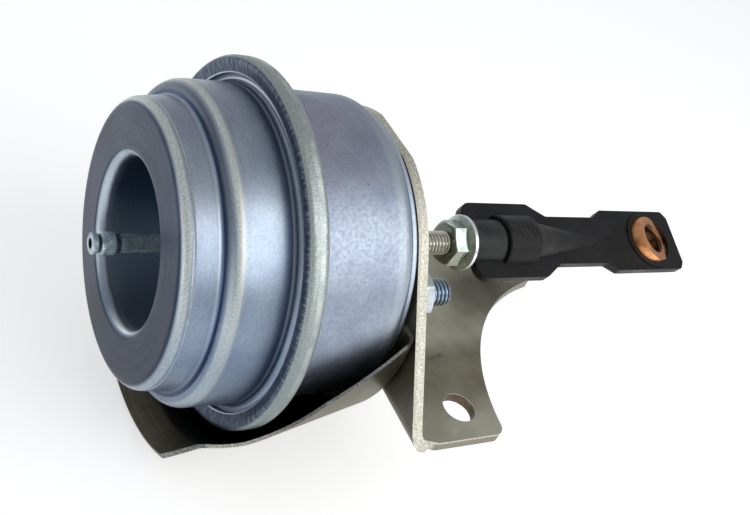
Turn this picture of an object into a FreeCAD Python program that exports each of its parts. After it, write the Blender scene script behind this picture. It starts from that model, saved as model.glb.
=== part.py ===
import FreeCAD, Part
import math
import os

from FreeCAD import Vector

# A vacuum actuator for a turbocharger's vanes: a stepped can, a folded bracket and a control rod.
# Millimetres. The origin is the centre of the foot's bolt hole, on the foot's underside.
# +X runs along the rod towards its eye, +Z is the foot's normal, and the can hangs over the foot.

# Bracket: a disc behind the can and a foot folded off its lower edge
plate_thickness = 2.5
bend_inner_radius = 1.5
disc_radius = 31.6
disc_flat_height = 30.7
foot_hole_radius = 3.9
hole_to_disc = 14.2
hole_to_near_edge = 8.3
flank_from_near_edge = 1.0
hole_to_axis = 41.8
axis_above_foot = 10.5
foot_length = 61.5
foot_beyond_axis = 13.0
foot_arc_radius = 52.1
foot_hole_wall = 4.0
foot_arc_below_near_edge = 4.0
foot_corner_radius = 2.6
foot_shoulder_length = 2.5
foot_shoulder_radius = 3.0
foot_tip_radius = 6.0
bend_relief = 2.2

# Can: front cover with its re-entrant well, rear shell with the rolled rim
sheet = 1.0
cover_depth = 20.6
nose_depth = 7.5
nose_face_radius = 29.2
nose_rear_radius = 30.1
nose_corner_radius = 2.3
nose_crease_setback = 2.25
nose_crease_radius = 0.35
shoulder_radius = 33.5
shoulder_corner_radius = 2.6
cover_flare = 0.3
well_radius = 17.5
well_taper = 0.2
well_lip_radius = 2.0
well_depth = 22.6
rim_length = 3.8
rim_lip_rise = 1.2
rim_radius = 39.4
rim_lip_inner_radius = 35.7
rim_corner_radius = 1.3
rim_slack = 0.2
rear_can_radius = 33.5
rear_can_depth = 24.5
rear_corner_radius = 2.9
rear_corner_rise = 0.8
pedestal_radius = 32.2
pedestal_height = 1.3
pedestal_edge_radius = 0.4
inside_bend_radius = 1.2
shoulder_root_radius = 0.6

# Hose pipe on the axis
pipe_reach = 6.9
pipe_bore_radius = 1.0
pipe_stem_radius = 1.9
pipe_tip_radius = 2.2
pipe_neck_radius = 1.75
pipe_barb_radius = 2.35
pipe_tip_length = 1.1
pipe_barb_length = 3.0
pipe_collar_radius = 3.2
pipe_collar_length = 1.5
pipe_stake_radius = 2.8
pipe_stake_length = 0.8

# Moving parts in the can
membrane = 0.7
membrane_to_wall = 0.4
fold_width = 2.7
fold_ahead_of_clamp = 3.1
running_gap = 0.2
cup_sheet = 0.8
cup_rim_behind_fold = 3.5
cup_corner_radius = 2.0
piston_rear_gap = 6.0
spring_wire = 2.5
spring_mean_radius = 22.5
spring_turns = 5
spring_ground_off = 0.6
seat_sheet = 0.8
seat_collar_length = 4.0
seat_collar_gap = 0.35
seat_outer_radius = 25.5
seat_bend_radius = 1.2
retainer_thickness = 1.2
retainer_radius = 22.0
retainer_edge_radius = 0.4
rivet_radius = 4.8
rivet_height = 1.6
rivet_edge_radius = 0.8

# Rod, its guide and stop in the can's end
rod_radius = 3.0
rod_collar_radius = 5.0
rod_collar_length = 1.9
rod_length_out = 53.0
guide_running_clearance = 0.03
guide_radius = 6.0
guide_hole_clearance = 0.1
guide_flange_radius = 8.8
guide_flange_length = 1.6
guide_beyond_disc = 0.5
seal_radius = 4.6
seal_length = 2.2
stop_inner_radius = 9.6
stop_width = 4.0
stop_gap = 0.3

# Studs that hold the can on the bracket
stud_radius = 3.0
stud_circle_radius = 25.0
stud_tilt = 17.2
stud_length = 10.9
stud_head_radius = 4.5
stud_head_height = 1.6
stud_head_edge_radius = 0.5
stud_hole_clearance = 0.3
stud_plate_thickness = 1.5
stud_plate_radius = 30.5
nut_across_flats = 10.0
nut_height = 4.8
near_nut_turn = 152.0
far_nut_turn = 10.0
nut_chamfer = 0.6

# Flanged lock nut on the rod
lock_nut_from_disc = 28.5
lock_nut_length = 5.9
lock_nut_turn = 130.0
lock_flange_radius = 7.1
lock_flange_edge = 1.0
lock_flange_slope = 0.9

# Flat forged rod end with a threaded sleeve
rod_end_turn = 22.2
web_thickness = 2.4
web_offset = 0.5
head_half_width = 10.6
head_length = 23.2
head_corner_radius = 3.8
head_chamfer_length = 6.0
neck_half_width = 7.0
neck_length = 18.0
eye_half_width = 9.3
eye_flare_length = 3.8
eye_from_sleeve = 69.0
eye_to_end = 11.2
eye_chamfer = 1.7
eye_chamfer_drop = 2.2
outline_fillet = 1.6
eye_end_fillet = 0.8
sleeve_radius = 6.0
sleeve_length = 10.5
web_setback = 1.2
block_radius = 7.2
block_length = 11.2
block_edge_radius = 0.9
ridge_radius = 5.8
ridge_length = 26.5
thread_depth = 18.5
eye_ring_radius = 8.6
eye_ring_height = 0.35

# Bronze ball in the eye, tilted as it came to rest
ball_radius = 7.3
ball_width = 5.0
ball_tilt = 15.0
ball_bore_radius = 3.75
ball_bore_edge = 1.2
ball_clearance = 0.04

# Heat shield: a flat collar behind the can and a trough under it, clear of can and rim
shield_sheet = 0.7
shield_collar_radius = 31.0
shield_root_gap = 2.5
shield_mid_gap = 2.4
shield_throat_gap = 2.8
shield_front_gap = 5.1
shield_mid_length = 28.0
shield_throat_length = 34.0
shield_length = 40.5
shield_bend_radius = 1.2
shield_cut_rear_height = 6.1
shield_cut_knee_length = 17.1
shield_cut_knee_height = -7.9
shield_cut_lip_length = 32.7
shield_cut_lip_height = -30.7
shield_cut_front_height = -36.0

# Edges broken on turned pieces, and on small ones
edge_radius = 0.5
fine_edge_radius = 0.3

# A distance below this counts as none
nearly_nothing = 1e-4

# Places along the rod axis, worked out from the sizes above
disc_rear = -hole_to_disc
disc_front = disc_rear - plate_thickness
can_end = disc_front - shield_sheet
rim_rear = can_end - rear_can_depth
rim_front = rim_rear - rim_length
lip_angle = math.atan2(rim_lip_rise, rim_radius - rim_lip_inner_radius)
flange_front = rim_front + sheet * math.cos(lip_angle)
cover_face = rim_front - cover_depth
well_floor = cover_face + well_depth
stud_plate_front = can_end - sheet - stud_plate_thickness
membrane_rear = stud_plate_front - piston_rear_gap + membrane
axis_height = plate_thickness + axis_above_foot


def rounded_wire(points, closed):
    """Joins (x, y) or (x, y, fillet) points by straight lines, each fillet as a tangent arc."""
    corners = [Vector(p[0], p[1], 0) for p in points]
    fillets = [p[2] if len(p) > 2 else 0.0 for p in points]
    count = len(corners)
    stops = []
    for i in range(count):
        here = corners[i]
        at_end = not closed and i in (0, count - 1)
        if at_end or fillets[i] <= 0:
            stops.append((here, None, here))
            continue
        back = (corners[i - 1] - here).normalize()
        ahead = (corners[(i + 1) % count] - here).normalize()
        half = back.getAngle(ahead) / 2
        reach = fillets[i] / math.tan(half)
        middle = (back + ahead).normalize()
        crown = here + middle * (fillets[i] / math.sin(half) - fillets[i])
        stops.append((here + back * reach, crown, here + ahead * reach))
    edges = []
    for i in range(count):
        start, crown, end = stops[i]
        if crown is not None:
            edges.append(Part.Arc(start, crown, end).toShape())
        if i == count - 1 and not closed:
            break
        following = stops[(i + 1) % count][0]
        if end.distanceToPoint(following) > nearly_nothing:
            edges.append(Part.LineSegment(end, following).toShape())
    return Part.Wire(edges)


def moved_path(points, distance):
    """The same path, moved to its left by distance, with its fillets kept parallel."""
    spots = [Vector(p[0], p[1], 0) for p in points]
    fillets = [p[2] if len(p) > 2 else 0.0 for p in points]
    normals = []
    for a, b in zip(spots, spots[1:]):
        along = (b - a).normalize()
        normals.append(Vector(-along.y, along.x, 0))
    moved = []
    for i, spot in enumerate(spots):
        before = normals[max(i - 1, 0)]
        after = normals[min(i, len(normals) - 1)]
        shifted = spot + (before + after) * (distance / (1 + before.dot(after)))
        turn = before.x * after.y - before.y * after.x
        fillet = fillets[i] - distance if turn > 0 else fillets[i] + distance
        moved.append((shifted.x, shifted.y, max(fillet, 0.0) if fillets[i] > 0 else 0.0))
    return moved


def turned(points):
    """A solid of revolution about the rod axis from a closed (x, radius) profile."""
    face = Part.Face(rounded_wire(points, True))
    return face.revolve(Vector(0, 0, 0), Vector(1, 0, 0), 360)


def pressed(path, thickness):
    """A pressed sheet of revolution: the path is one face, thickness is to its left."""
    return turned(path + moved_path(path, thickness)[::-1])


def ring(start, length, outer, inner):
    """A plain ring on the rod axis."""
    shape = Part.makeCylinder(outer, length, Vector(start, 0, 0), Vector(1, 0, 0))
    if inner > 0:
        shape = shape.cut(Part.makeCylinder(inner, length, Vector(start, 0, 0), Vector(1, 0, 0)))
    return shape


def on_stud(shape, side):
    """Moves a shape from the rod axis to the near (-1) or the far (+1) stud."""
    angle = math.radians(-stud_tilt)
    offset = Vector(0, math.cos(angle), math.sin(angle)) * (side * stud_circle_radius)
    return shape.translated(offset)


def hexagon(start, length, across_flats, turn):
    """A hexagonal prism on the rod axis, one flat's normal at the angle turn from +Y."""
    corner_radius = across_flats / math.sqrt(3)
    corners = []
    for i in range(6):
        angle = math.radians(turn + 30 + 60 * i)
        corners.append(Vector(start, corner_radius * math.cos(angle), corner_radius * math.sin(angle)))
    return Part.Face(Part.makePolygon(corners + corners[:1])).extrude(Vector(length, 0, 0))


def stud_holes(start, length):
    """The two cutters for the studs' clearance holes."""
    hole = ring(start, length, stud_radius + stud_hole_clearance, 0)
    return [on_stud(hole, -1), on_stud(hole, 1)]


def make_vacuum_cover():
    shoulder = cover_face + nose_depth
    crease = cover_face + nose_crease_setback
    wall_root = shoulder_radius + cover_flare
    path = [
        (flange_front, rim_radius - sheet - rim_slack),
        (flange_front, wall_root, inside_bend_radius),
        (shoulder, shoulder_radius, shoulder_corner_radius),
        (shoulder, nose_rear_radius, shoulder_root_radius),
        (cover_face, nose_face_radius, nose_corner_radius),
        (cover_face, well_radius, well_lip_radius),
        (well_floor, well_radius - well_taper, well_lip_radius),
        (well_floor, pipe_stem_radius),
    ]
    crease_ring = Part.makeTorus(nose_face_radius + (nose_rear_radius - nose_face_radius)
                                 * nose_crease_setback / nose_depth + nose_crease_radius / 2,
                                 nose_crease_radius, Vector(crease, 0, 0), Vector(1, 0, 0))
    return pressed(path, sheet).cut(crease_ring)


def make_rear_can():
    pedestal_foot = can_end - pedestal_height
    path = [
        (rim_front, rim_lip_inner_radius),
        (rim_front - rim_lip_rise, rim_radius, rim_corner_radius),
        (rim_rear, rim_radius, rim_corner_radius),
        (rim_rear, rear_can_radius, inside_bend_radius),
        (pedestal_foot - rear_corner_rise, rear_can_radius, rear_corner_radius),
        (pedestal_foot, pedestal_radius),
        (can_end, pedestal_radius, pedestal_edge_radius),
        (can_end, guide_radius + guide_hole_clearance),
    ]
    shape = pressed(path, -sheet)
    return shape.cut(stud_holes(can_end - sheet, sheet))


def make_vacuum_pipe():
    tip = cover_face - pipe_reach
    barb_start = tip + pipe_tip_length + pipe_tip_radius - pipe_neck_radius
    barb_end = barb_start + pipe_barb_length
    slope = pipe_barb_radius - pipe_neck_radius
    inner_end = well_floor + sheet + pipe_stake_length
    return turned([
        (tip, pipe_bore_radius),
        (tip, pipe_tip_radius, fine_edge_radius),
        (tip + pipe_tip_length, pipe_tip_radius, fine_edge_radius),
        (barb_start, pipe_neck_radius),
        (barb_start + slope, pipe_barb_radius, fine_edge_radius),
        (barb_end, pipe_barb_radius, fine_edge_radius),
        (barb_end + slope, pipe_stem_radius),
        (well_floor - pipe_collar_length, pipe_stem_radius),
        (well_floor - pipe_collar_length, pipe_collar_radius, fine_edge_radius),
        (well_floor, pipe_collar_radius),
        (well_floor, pipe_stem_radius),
        (well_floor + sheet, pipe_stem_radius),
        (well_floor + sheet, pipe_stake_radius),
        (inner_end, pipe_stake_radius, fine_edge_radius),
        (inner_end, pipe_bore_radius),
    ])


def fold_radii():
    """The membrane's rear face: its outer leg beside the can's wall and its inner leg on the cup."""
    outer_leg = rear_can_radius - sheet - membrane_to_wall - membrane
    return outer_leg, outer_leg - fold_width


def make_diaphragm():
    outer_leg, inner_leg = fold_radii()
    clamp_rear = rim_rear - sheet
    clamp_front = flange_front + sheet
    leg_rear = (clamp_rear + clamp_front + membrane) / 2
    fold_front = clamp_rear - membrane - fold_ahead_of_clamp
    bead_outer = rim_radius - sheet - rim_slack
    bead_inner = rim_lip_inner_radius
    path = [
        (leg_rear, bead_inner),
        (leg_rear, outer_leg, inside_bend_radius),
        (fold_front, outer_leg, fold_width / 2),
        (fold_front, inner_leg, fold_width / 2),
        (membrane_rear, inner_leg, cup_corner_radius + membrane),
        (membrane_rear, rod_radius + running_gap),
    ]
    bead = ring(clamp_front, clamp_rear - clamp_front, bead_outer, bead_inner)
    return pressed(path, -membrane).fuse(bead)


def cup_places():
    """The cup's outer radius, and the places of its rim, its floor's front and its floor's rear."""
    outer = fold_radii()[1] - membrane - running_gap
    floor_rear = membrane_rear - membrane - running_gap
    rim = rim_rear - sheet - membrane - fold_ahead_of_clamp + cup_rim_behind_fold
    return outer, rim, floor_rear - cup_sheet, floor_rear


def make_piston_cup():
    outer, rim, _, floor_rear = cup_places()
    path = [(rim, outer), (floor_rear, outer, cup_corner_radius), (floor_rear, rod_radius)]
    return pressed(path, -cup_sheet)


def make_spring_seat():
    floor_front = cup_places()[2]
    collar = spring_mean_radius - spring_wire / 2 - seat_collar_gap - seat_sheet
    path = [
        (floor_front, seat_outer_radius),
        (floor_front, collar, seat_bend_radius),
        (floor_front - seat_collar_length, collar),
    ]
    return pressed(path, -seat_sheet)


def make_main_spring():
    """Half turns of wire: a flat one at each end, ground off, and evenly rising ones between."""
    front = cover_face + sheet
    rear = cup_places()[2] - seat_sheet
    wire_radius = spring_wire / 2
    lift = wire_radius - spring_ground_off
    rising_halves = 2 * spring_turns
    rise = (rear - front - 2 * lift) / rising_halves
    halves = []
    x = front + lift
    side = 1
    for step in [0.0] + [rise] * rising_halves + [0.0]:
        start = Vector(x, side * spring_mean_radius, 0)
        end = Vector(x + step, -side * spring_mean_radius, 0)
        axis = Vector(0, 0, side).cross(end - start)
        section = Part.Face(Part.Wire(Part.makeCircle(wire_radius, start, Vector(0, 0, 1))))
        halves.append(section.revolve((start + end) / 2, axis, 180))
        x += step
        side = -side
    ends_plane = ring(front, rear - front, spring_mean_radius + spring_wire, 0)
    return halves[0].fuse(halves[1:]).common(ends_plane)


def make_diaphragm_retainer():
    front = membrane_rear + running_gap
    return turned([
        (front, rod_radius),
        (front, retainer_radius, retainer_edge_radius),
        (front + retainer_thickness, retainer_radius, retainer_edge_radius),
        (front + retainer_thickness, rod_radius),
    ])


def make_actuator_rod():
    collar_front = membrane_rear + running_gap + retainer_thickness
    collar_rear = collar_front + rod_collar_length
    floor_front = cup_places()[2]
    tail = disc_rear + rod_length_out
    return turned([
        (floor_front - rivet_height, 0),
        (floor_front - rivet_height, rivet_radius, rivet_edge_radius),
        (floor_front, rivet_radius),
        (floor_front, rod_radius),
        (collar_front, rod_radius),
        (collar_front, rod_collar_radius),
        (collar_rear, rod_collar_radius, edge_radius),
        (collar_rear, rod_radius),
        (tail - edge_radius, rod_radius),
        (tail, rod_radius - edge_radius),
        (tail, 0),
    ])


def make_rod_guide():
    flange_front = stud_plate_front - guide_flange_length
    tail = disc_rear + guide_beyond_disc
    bore = rod_radius + guide_running_clearance
    return turned([
        (flange_front, bore),
        (flange_front, guide_flange_radius, edge_radius),
        (stud_plate_front, guide_flange_radius),
        (stud_plate_front, guide_radius),
        (tail, guide_radius, edge_radius),
        (tail, seal_radius),
        (tail - seal_length, seal_radius),
        (tail - seal_length, bore),
    ])


def make_dust_seal():
    tail = disc_rear + guide_beyond_disc
    return ring(tail - seal_length, seal_length, seal_radius, rod_radius + guide_running_clearance)


def make_bump_stop():
    front = membrane_rear + running_gap + retainer_thickness + stop_gap
    outer = stop_inner_radius + stop_width
    return turned([
        (front, stop_inner_radius, edge_radius),
        (front, outer, edge_radius),
        (stud_plate_front, outer),
        (stud_plate_front, stop_inner_radius),
    ])


def make_stud_plate():
    disc = ring(stud_plate_front, stud_plate_thickness, stud_plate_radius,
                guide_radius + guide_hole_clearance)
    shank = ring(stud_plate_front, stud_plate_thickness, stud_radius, 0)
    return disc.cut([on_stud(shank, -1), on_stud(shank, 1)])


def make_stud(side):
    tail = disc_rear + stud_length
    stud = turned([
        (stud_plate_front - stud_head_height, 0),
        (stud_plate_front - stud_head_height, stud_head_radius, stud_head_edge_radius),
        (stud_plate_front, stud_head_radius),
        (stud_plate_front, stud_radius),
        (tail - edge_radius, stud_radius),
        (tail, stud_radius - edge_radius),
        (tail, 0),
    ])
    return on_stud(stud, side)


def make_stud_nut(side, turn):
    prism = hexagon(disc_rear, nut_height, nut_across_flats, turn)
    corner = nut_across_flats / math.sqrt(3)
    reach = corner - nut_across_flats / 2 + nut_chamfer / 2
    envelope = turned([
        (disc_rear, 0),
        (disc_rear, corner),
        (disc_rear + nut_height - nut_chamfer, corner),
        (disc_rear + nut_height, corner - reach),
        (disc_rear + nut_height, 0),
    ])
    nut = prism.common(envelope).cut(ring(disc_rear, nut_height, stud_radius, 0))
    return on_stud(nut, side)


def make_lock_nut():
    front = disc_rear + lock_nut_from_disc
    rear = front + lock_nut_length
    flange_front = rear - lock_flange_edge - lock_flange_slope
    corner = nut_across_flats / math.sqrt(3)
    reach = corner - nut_across_flats / 2 + nut_chamfer / 2
    prism = hexagon(front, rear - front, nut_across_flats, lock_nut_turn)
    envelope = turned([
        (front, 0),
        (front, corner - reach),
        (front + nut_chamfer, corner),
        (rear, corner),
        (rear, 0),
    ])
    flange = turned([
        (flange_front, 0),
        (flange_front, corner),
        (rear - lock_flange_edge, lock_flange_radius, fine_edge_radius),
        (rear, lock_flange_radius, fine_edge_radius),
        (rear, 0),
    ])
    return prism.common(envelope).fuse(flange).cut(ring(front, rear - front, rod_radius, 0))


def rod_end_start():
    return disc_rear + lock_nut_from_disc + lock_nut_length


def make_rod_end():
    sleeve_front = rod_end_start()
    web_front = sleeve_front + web_setback
    head_rear = web_front + head_length
    neck_start = head_rear + head_chamfer_length
    neck_end = neck_start + neck_length
    eye_start = neck_end + eye_flare_length
    eye_centre = sleeve_front + eye_from_sleeve
    end = eye_centre + eye_to_end
    half = [
        (web_front, head_half_width, head_corner_radius),
        (head_rear, head_half_width, outline_fillet),
        (neck_start, neck_half_width, outline_fillet),
        (neck_end, neck_half_width, outline_fillet),
        (eye_start, eye_half_width, outline_fillet),
        (end - eye_chamfer, eye_half_width, outline_fillet),
        (end, eye_half_width - eye_chamfer_drop, eye_end_fillet),
    ]
    outline = half + [(x, -y, fillet) for x, y, fillet in half[::-1]]
    web = Part.Face(rounded_wire(outline, True)).extrude(Vector(0, 0, web_thickness))
    web.translate(Vector(0, 0, web_offset - web_thickness / 2))
    block_end = sleeve_front + sleeve_length + block_length
    ridge_tip = web_offset + web_thickness / 2
    boss = turned([
        (sleeve_front, 0),
        (sleeve_front, sleeve_radius, edge_radius),
        (sleeve_front + sleeve_length, sleeve_radius),
        (sleeve_front + sleeve_length, block_radius, block_edge_radius),
        (block_end, block_radius, block_edge_radius),
        (block_end, ridge_radius),
        (block_end + ridge_length, ridge_tip),
        (block_end + ridge_length, 0),
    ])
    eye_middle = Vector(eye_centre, 0, web_offset)
    lip = Part.makeCylinder(eye_ring_radius, web_thickness + 2 * eye_ring_height,
                            eye_middle - Vector(0, 0, web_thickness / 2 + eye_ring_height))
    body = web.fuse([boss, lip])
    body = body.cut([
        ring(sleeve_front, thread_depth, rod_radius, 0),
        Part.makeSphere(ball_radius + ball_clearance, eye_middle),
    ])
    body.rotate(Vector(0, 0, 0), Vector(1, 0, 0), rod_end_turn)
    return body


def make_eye_ball():
    eye_middle = Vector(rod_end_start() + eye_from_sleeve, 0, web_offset)
    face = Vector(0, 0, ball_width / 2)
    ball = Part.makeSphere(ball_radius, eye_middle)
    ball = ball.common(Part.makeCylinder(ball_radius, ball_width, eye_middle - face))
    ball = ball.cut(Part.makeCylinder(ball_bore_radius, ball_width, eye_middle - face))
    bore_rims = []
    for edge in ball.Edges:
        round_edge = isinstance(edge.Curve, Part.Circle)
        if round_edge and abs(edge.Curve.Radius - ball_bore_radius) < nearly_nothing:
            bore_rims.append(edge)
    ball = ball.makeFillet(ball_bore_edge, bore_rims)
    ball.rotate(eye_middle, Vector(0, 1, 0), ball_tilt)
    ball.rotate(Vector(0, 0, 0), Vector(1, 0, 0), rod_end_turn)
    return ball


def make_heat_shield():
    collar_front = can_end
    collar_rear = disc_front
    cut_front = collar_rear - shield_length
    path = [
        (collar_front, guide_radius + guide_hole_clearance),
        (collar_front, rear_can_radius + shield_root_gap, shield_bend_radius),
        (collar_rear - shield_mid_length, rim_radius + shield_mid_gap, shield_bend_radius),
        (collar_rear - shield_throat_length, rim_radius + shield_throat_gap, shield_bend_radius),
        (cut_front, rim_radius + shield_front_gap),
    ]
    whole = pressed(path, -shield_sheet)
    reach = rim_radius + shield_front_gap + shield_length
    corners = [
        Vector(cut_front - shield_sheet, -reach, -reach),
        Vector(cut_front - shield_sheet, -reach, shield_cut_front_height),
        Vector(cut_front, -reach, shield_cut_front_height),
        Vector(collar_rear - shield_cut_lip_length, -reach, shield_cut_lip_height),
        Vector(collar_rear - shield_cut_knee_length, -reach, shield_cut_knee_height),
        Vector(collar_rear, -reach, shield_cut_rear_height),
        Vector(collar_rear, -reach, -reach),
    ]
    below = Part.Face(Part.makePolygon(corners + corners[:1])).extrude(Vector(0, 2 * reach, 0))
    collar = ring(collar_front, shield_sheet, shield_collar_radius,
                  guide_radius + guide_hole_clearance)
    shape = whole.common(below).fuse(collar)
    return shape.cut(stud_holes(collar_front, shield_sheet)).removeSplitter()


def make_bracket():
    near = -hole_to_near_edge
    far = hole_to_axis + foot_beyond_axis
    bend_outer = plate_thickness + bend_inner_radius
    bend_x = disc_front + bend_outer
    centre = Vector(disc_front, hole_to_axis, axis_height)

    # Disc with a flat on top, and a tangent flank that runs down to the foot's near edge
    disc = Part.makeCylinder(disc_radius, plate_thickness, centre, Vector(1, 0, 0))
    top = Part.makeBox(plate_thickness, 2 * disc_radius, disc_radius,
                       Vector(disc_front, centre.y - disc_radius, centre.z + disc_flat_height))
    flank_y = near + flank_from_near_edge
    to_centre = math.atan2(centre.z - plate_thickness, centre.y - flank_y)
    distance = math.hypot(centre.y - flank_y, centre.z - plate_thickness)
    flank_angle = to_centre + math.asin(disc_radius / distance)
    flank_length = math.sqrt(distance ** 2 - disc_radius ** 2)
    flank_foot = Vector(disc_front, flank_y, plate_thickness)
    along_flank = Vector(0, math.cos(flank_angle), math.sin(flank_angle))
    tangent = flank_foot + along_flank * flank_length
    side = [tangent, flank_foot, Vector(disc_front, centre.y, plate_thickness), centre]
    flank = Part.Face(Part.makePolygon(side + side[:1])).extrude(Vector(plate_thickness, 0, 0))
    drop = Part.makeBox(plate_thickness, far + bend_relief - near, 2 * disc_radius,
                        Vector(disc_front, near, bend_outer - 2 * disc_radius))
    upright = disc.cut(top).fuse(flank).cut(drop)

    # Fold between the disc and the foot, trimmed along the flank
    fold_axis = Vector(bend_x, near, bend_outer)
    fold = Part.makeCylinder(bend_outer, far - near, fold_axis, Vector(0, 1, 0))
    fold = fold.cut(Part.makeCylinder(bend_inner_radius, far - near, fold_axis, Vector(0, 1, 0)))
    fold = fold.common(Part.makeBox(bend_outer, far - near, bend_outer, Vector(disc_front, near, 0)))
    beside = [
        flank_foot - along_flank * bend_outer,
        flank_foot + along_flank * bend_outer,
        flank_foot + along_flank * bend_outer - Vector(0, 2 * bend_outer, 0),
        flank_foot - along_flank * bend_outer - Vector(0, 2 * bend_outer, 0),
    ]
    beside = Part.Face(Part.makePolygon(beside + beside[:1])).extrude(Vector(bend_outer, 0, 0))
    fold = fold.cut(beside)

    # Foot, with its concave edge, its rounded corners and its bolt hole
    arc_x = foot_hole_radius + foot_hole_wall + foot_arc_radius
    arc_y = near - foot_arc_below_near_edge
    tip_x = disc_rear + foot_length
    outline = [
        (bend_x, flank_y),
        (bend_x + foot_shoulder_length, near, foot_shoulder_radius),
        (arc_x, near),
        (tip_x, near),
        (tip_x, far, foot_tip_radius),
        (bend_x, far),
    ]
    foot = Part.Face(rounded_wire(outline, True)).extrude(Vector(0, 0, plate_thickness))
    foot = foot.cut([
        Part.makeCylinder(foot_arc_radius, plate_thickness, Vector(arc_x, arc_y, 0)),
        Part.makeCylinder(foot_hole_radius, plate_thickness),
    ])
    foot_pieces = sorted(foot.Solids, key=lambda solid: solid.Volume)
    foot = foot_pieces[-1]
    near_corner_x = arc_x - math.sqrt(foot_arc_radius ** 2 - foot_arc_below_near_edge ** 2)
    corner_edges = []
    for edge in foot.Edges:
        middle = edge.CenterOfMass
        off_corner = math.hypot(middle.x - near_corner_x, middle.y - near)
        off_middle = abs(middle.z - plate_thickness / 2)
        if off_corner < nearly_nothing and off_middle < nearly_nothing:
            corner_edges.append(edge)
    foot = foot.makeFillet(foot_corner_radius, corner_edges)

    bracket = upright.fuse([fold, foot])
    drills = stud_holes(disc_front, plate_thickness)
    drills.append(ring(disc_front, plate_thickness, guide_radius + guide_hole_clearance, 0))
    for drill in drills:
        drill.translate(Vector(0, hole_to_axis, axis_height))
    return bracket.cut(drills).removeSplitter()


on_axis = {
    "vacuum_cover": make_vacuum_cover(),
    "vacuum_pipe": make_vacuum_pipe(),
    "rear_can": make_rear_can(),
    "diaphragm": make_diaphragm(),
    "piston_cup": make_piston_cup(),
    "spring_seat": make_spring_seat(),
    "main_spring": make_main_spring(),
    "diaphragm_retainer": make_diaphragm_retainer(),
    "actuator_rod": make_actuator_rod(),
    "rod_guide": make_rod_guide(),
    "dust_seal": make_dust_seal(),
    "bump_stop": make_bump_stop(),
    "stud_plate": make_stud_plate(),
    "near_stud": make_stud(-1),
    "far_stud": make_stud(1),
    "near_stud_nut": make_stud_nut(-1, near_nut_turn),
    "far_stud_nut": make_stud_nut(1, far_nut_turn),
    "lock_nut": make_lock_nut(),
    "rod_end": make_rod_end(),
    "eye_ball": make_eye_ball(),
    "heat_shield": make_heat_shield(),
}

os.makedirs("parts", exist_ok=True)
for name, shape in on_axis.items():
    shape.translate(Vector(0, hole_to_axis, axis_height))
nodes = dict(on_axis, bracket=make_bracket())
for name, shape in nodes.items():
    print(name, "solids", len(shape.Solids), "valid", shape.isValid(), "volume", round(shape.Volume, 1))
    shape.exportStep(f"parts/{name}.step")
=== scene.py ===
import math

import bpy
from mathutils import Matrix, Vector


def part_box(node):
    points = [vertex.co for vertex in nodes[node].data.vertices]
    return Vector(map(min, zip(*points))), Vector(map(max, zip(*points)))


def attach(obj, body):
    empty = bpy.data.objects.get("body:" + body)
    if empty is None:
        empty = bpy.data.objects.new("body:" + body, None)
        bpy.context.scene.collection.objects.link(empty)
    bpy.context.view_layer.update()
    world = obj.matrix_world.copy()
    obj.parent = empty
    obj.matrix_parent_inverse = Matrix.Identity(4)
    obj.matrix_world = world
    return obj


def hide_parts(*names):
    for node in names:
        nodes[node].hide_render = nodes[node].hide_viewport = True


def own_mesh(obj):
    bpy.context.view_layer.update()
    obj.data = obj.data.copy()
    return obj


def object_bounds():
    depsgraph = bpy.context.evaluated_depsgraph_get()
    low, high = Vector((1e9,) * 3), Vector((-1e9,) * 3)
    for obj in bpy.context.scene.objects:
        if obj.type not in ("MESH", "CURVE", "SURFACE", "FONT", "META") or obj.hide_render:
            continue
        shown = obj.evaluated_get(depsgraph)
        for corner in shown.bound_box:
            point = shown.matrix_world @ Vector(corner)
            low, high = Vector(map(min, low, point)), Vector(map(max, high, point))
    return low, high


# A vacuum actuator. The CAD nodes keep their shapes and get materials. The rod and the studs are
# made again here with the form of their threads, and the spring and the diaphragm are copied
# onto the can's body. Metres, in the frame of the CAD.

mm = 0.001

# Camera: the photograph's place, aim and lens
camera_place = Vector((-131.5, -94.8, 137.4)) * mm
camera_right = Vector((0.8270, -0.4166, 0.3774))
camera_up = Vector((0.0098, 0.6820, 0.7313))
camera_backward = camera_right.cross(camera_up)
camera_lens_mm = 45.6
sensor_width_mm = 36.0
camera_near = 10.0 * mm

# Surroundings
floor_half_width = 3.0
floor_gap = 0.2 * mm
floor_colour = (0.8, 0.8, 0.8, 1.0)
floor_glow = 0.52
sky_colour = (0.95, 0.97, 1.0, 1.0)
sky_strength = 0.45

# Threads
thread_radius = 3.0 * mm
thread_pitch = 1.0 * mm
thread_depth = 0.55 * mm
thread_runout = 1.0 * mm
thread_end_radius = 2.5 * mm
thread_rings_per_turn = 12
valley_half_width = 0.42
valley_roundness = 0.8
guide_to_thread = 12.0 * mm
stud_thread_length = 10.0 * mm
bar_segments = 72
least_step = 0.01 * mm
sharp_angle = math.radians(35)

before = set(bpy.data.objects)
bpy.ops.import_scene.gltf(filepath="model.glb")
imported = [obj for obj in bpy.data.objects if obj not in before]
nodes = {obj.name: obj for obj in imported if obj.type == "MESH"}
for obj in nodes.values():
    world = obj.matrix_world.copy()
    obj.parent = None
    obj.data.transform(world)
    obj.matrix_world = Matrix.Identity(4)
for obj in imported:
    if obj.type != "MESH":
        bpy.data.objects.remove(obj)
cad_low, cad_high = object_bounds()


def node_middle(name):
    low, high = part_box(name)
    return (low + high) / 2


axis_y = node_middle("actuator_rod").y
axis_z = node_middle("actuator_rod").z
eye_middle = node_middle("eye_ball")

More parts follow.
